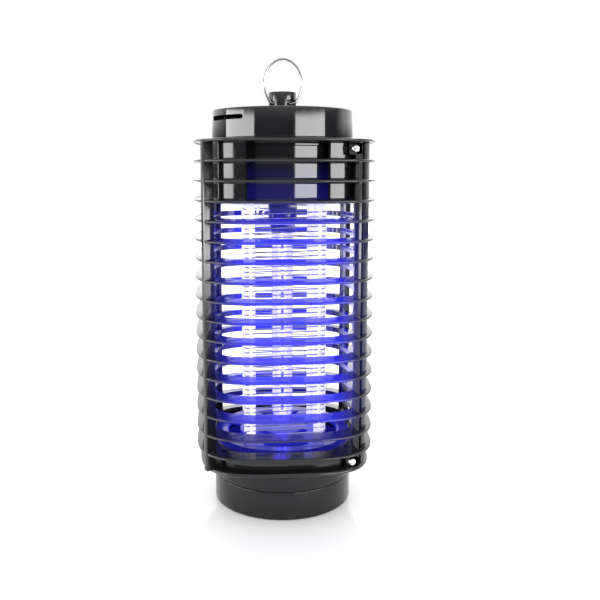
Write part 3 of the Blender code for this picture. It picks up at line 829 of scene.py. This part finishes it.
# ---- base ----------------------------------------------------------------------------------------
def make_base():
    """The collar with its flange, and the tray, whose spigot stands up inside the collar."""
    low, flange_r, flange_low, inner = TRAY_SEAM + GAP, 0.0400, 0.0305, 0.0459
    bm = bmesh.new()
    add_turned(bm, bend([(flange_r, BASE_TOP), (BASE_R, BASE_TOP), (BASE_R, low), (inner, low),
                         (inner, flange_low), (flange_r, flange_low),
                         (flange_r, BASE_TOP - 0.0002)], 0.0003, 2), 160, closed=True)
    piece("collar", bm, BASE_BLACK_PAINTED_GLOW, "housing", "black_plastic", "base_collar")
    bottom, step_r, spigot_inner, spigot_outer, spigot_top = 0.0020, 0.0460, 0.0436, 0.0456, 0.0275
    cup = bmesh.new()
    add_turned(cup, bend([(0, bottom), (step_r, bottom), (step_r, 0.0150), (spigot_inner, 0.0170),
                          (spigot_inner, spigot_top), (spigot_outer, spigot_top),
                          (spigot_outer, TRAY_SEAM), (BASE_R, TRAY_SEAM), (BASE_R, 0.0), (0, 0)],
                         0.0006), 160)
    piece("tray", cup, BASE_BLACK_PAINTED_GLOW, "tray", "black_plastic", "tray_cup")


# ---- carried-over nodes --------------------------------------------------------------------------
def finish_nodes():
    """Better materials for the CAD nodes that stay, most of them inside the closed head."""
    looks = {"circuit_board": plain_look("solder_mask", (0.03, 0.16, 0.07), 0.45, grain=1500.0),
             "ferrite": plain_look("ferrite_core", (0.05, 0.05, 0.055), 0.6),
             "enamelled_copper": plain_look("copper_winding", (0.55, 0.22, 0.08), 0.35, 1.0,
                                            2500.0),
             "capacitor_sleeve": plain_look("can_sleeve", (0.03, 0.05, 0.14), 0.3),
             "capacitor_epoxy": plain_look("dipped_epoxy", (0.45, 0.12, 0.04), 0.35),
             "plated_steel": STEEL, "black_plastic": HEAD_BLACK_PAINTED_GLOW}
    slots = {row["node"]: row["material_slot"] for row in frame["record"]["subparts"]}
    for name, node in frame["nodes"].items():
        if node.hide_render:
            continue
        # the floor plate takes the black plastic with the lamp's light painted on as a blue glow
        look = FLOOR_BLACK_PAINTED_GLOW if name == "floor_plate" else looks[slots[name]]
        for slot in node.material_slots:
            slot.material = look
        node.data.shade_smooth()
        node.data.set_sharp_from_angle(angle=SHARP)


# ---- stage, light, camera ------------------------------------------------------------------------
CAMERA_AT = (-0.0382, -0.5199, 0.2308)
CAMERA_TILT = math.radians(7.09)
CAMERA_TURN = math.radians(4.21)
CAMERA_LENS = 45.12
CAMERA_SHIFT = (0.0293, -0.062)


def make_stage():
    """A pale floor with a slight gloss."""
    look = Look("pale_floor", (0.88, 0.88, 0.88), 0.08)
    look.vary_roughness(look.noise(3.0), 0.06, 0.10)
    look.glow((1.0, 1.0, 1.0), 0.10)
    bm = bmesh.new()
    bmesh.ops.create_circle(bm, cap_ends=True, segments=96, radius=4.0)
    floor = new_object("studio_floor", new_mesh("studio_floor", bm))
    floor.location.z = -0.0005
    floor.data.materials.append(look.material)


def make_camera():
    lens = bpy.data.cameras.new("camera")
    lens.lens = CAMERA_LENS
    lens.shift_x, lens.shift_y = CAMERA_SHIFT
    camera = new_object("camera", lens)
    camera.location = CAMERA_AT
    camera.rotation_euler = (math.pi / 2 - CAMERA_TILT, 0, -CAMERA_TURN)
    bpy.context.scene.camera = camera


def make_lamp_light():
    """Blue light from the lamp, as a column of small lights inside the grid."""
    count, lowest, spacing = 6, 0.068, 0.022
    for i in range(count):
        light = bpy.data.lights.new(f"lamp_light_{i}", "POINT")
        light.color = (0.06, 0.06, 1.0)
        light.energy = 0.22
        light.shadow_soft_size = 0.006
        made = new_object(f"lamp_light_{i}", light)
        made.location = (0, 0, lowest + spacing * i)
        made.visible_camera = False
        made.visible_glossy = False


def make_world():
    """A white studio. Its reflections are dim low down and bright overhead and behind the lantern,
    with a wide, low panel on each side of the camera."""
    world = bpy.data.worlds.new("studio")
    bpy.context.scene.world = world
    world.use_nodes = True
    sky = Nodes(world.node_tree)
    sky.nodes.clear()
    ray = sky.nodes.new("ShaderNodeTexCoord").outputs["Generated"]

    def along(direction):
        node = sky.nodes.new("ShaderNodeVectorMath")
        node.operation = "DOT_PRODUCT"
        sky.links.new(ray, node.inputs[0])
        node.inputs[1].default_value = direction
        return node.outputs["Value"]

    s, c = math.sin(CAMERA_TURN), math.cos(CAMERA_TURN)
    rise, away = along((0, 0, 1)), along((s, c, 0))
    around = sky.math("ARCTAN2", along((c, -s, 0)), along((-s, -c, 0)))
    light = sky.ease(rise, 0.10, 0.30, 0.10, 1.35)
    behind = sky.product(sky.ease(away, 0.0, 0.5), sky.ease(rise, -0.02, 0.10))
    light = sky.math("MAXIMUM", light, sky.product(behind, 1.9))
    panels = ((-101.4, -45.4, 10.5), (20.6, 71.2, 11.5))      # from, to, in degrees, and strength
    soft = math.radians(1.2)
    for start, end, strength in panels:
        left, right = math.radians(start), math.radians(end)
        width = sky.product(sky.ease(around, left - soft, left + soft),
                            sky.ease(around, right + soft, right - soft))
        height = sky.product(sky.ease(rise, -0.16, -0.12), sky.ease(rise, 0.20, 0.12))
        light = sky.math("ADD", light, sky.product(sky.product(width, height), strength))
    seen = sky.nodes.new("ShaderNodeLightPath").outputs["Is Camera Ray"]
    shown = sky.math("ADD", sky.product(light, sky.math("SUBTRACT", 1.0, seen)), seen)
    background = sky.nodes.new("ShaderNodeBackground")
    background.inputs["Color"].default_value = (1.0, 1.0, 1.0, 1.0)
    sky.links.new(shown, background.inputs["Strength"])
    output = sky.nodes.new("ShaderNodeOutputWorld")
    sky.links.new(background.outputs[0], output.inputs["Surface"])


make_cage_half("cage_front", "cage_half_front", False)
make_cage_half("cage_back", "cage_half_back", True)
make_cage_screws()
make_head()
make_neck()
make_ring()
make_gland()
make_lamp()
make_holder()
make_grid()
make_base()
finish_nodes()
make_stage()
make_camera()
make_lamp_light()
make_world()
bpy.context.scene.view_settings.view_transform = "Standard"
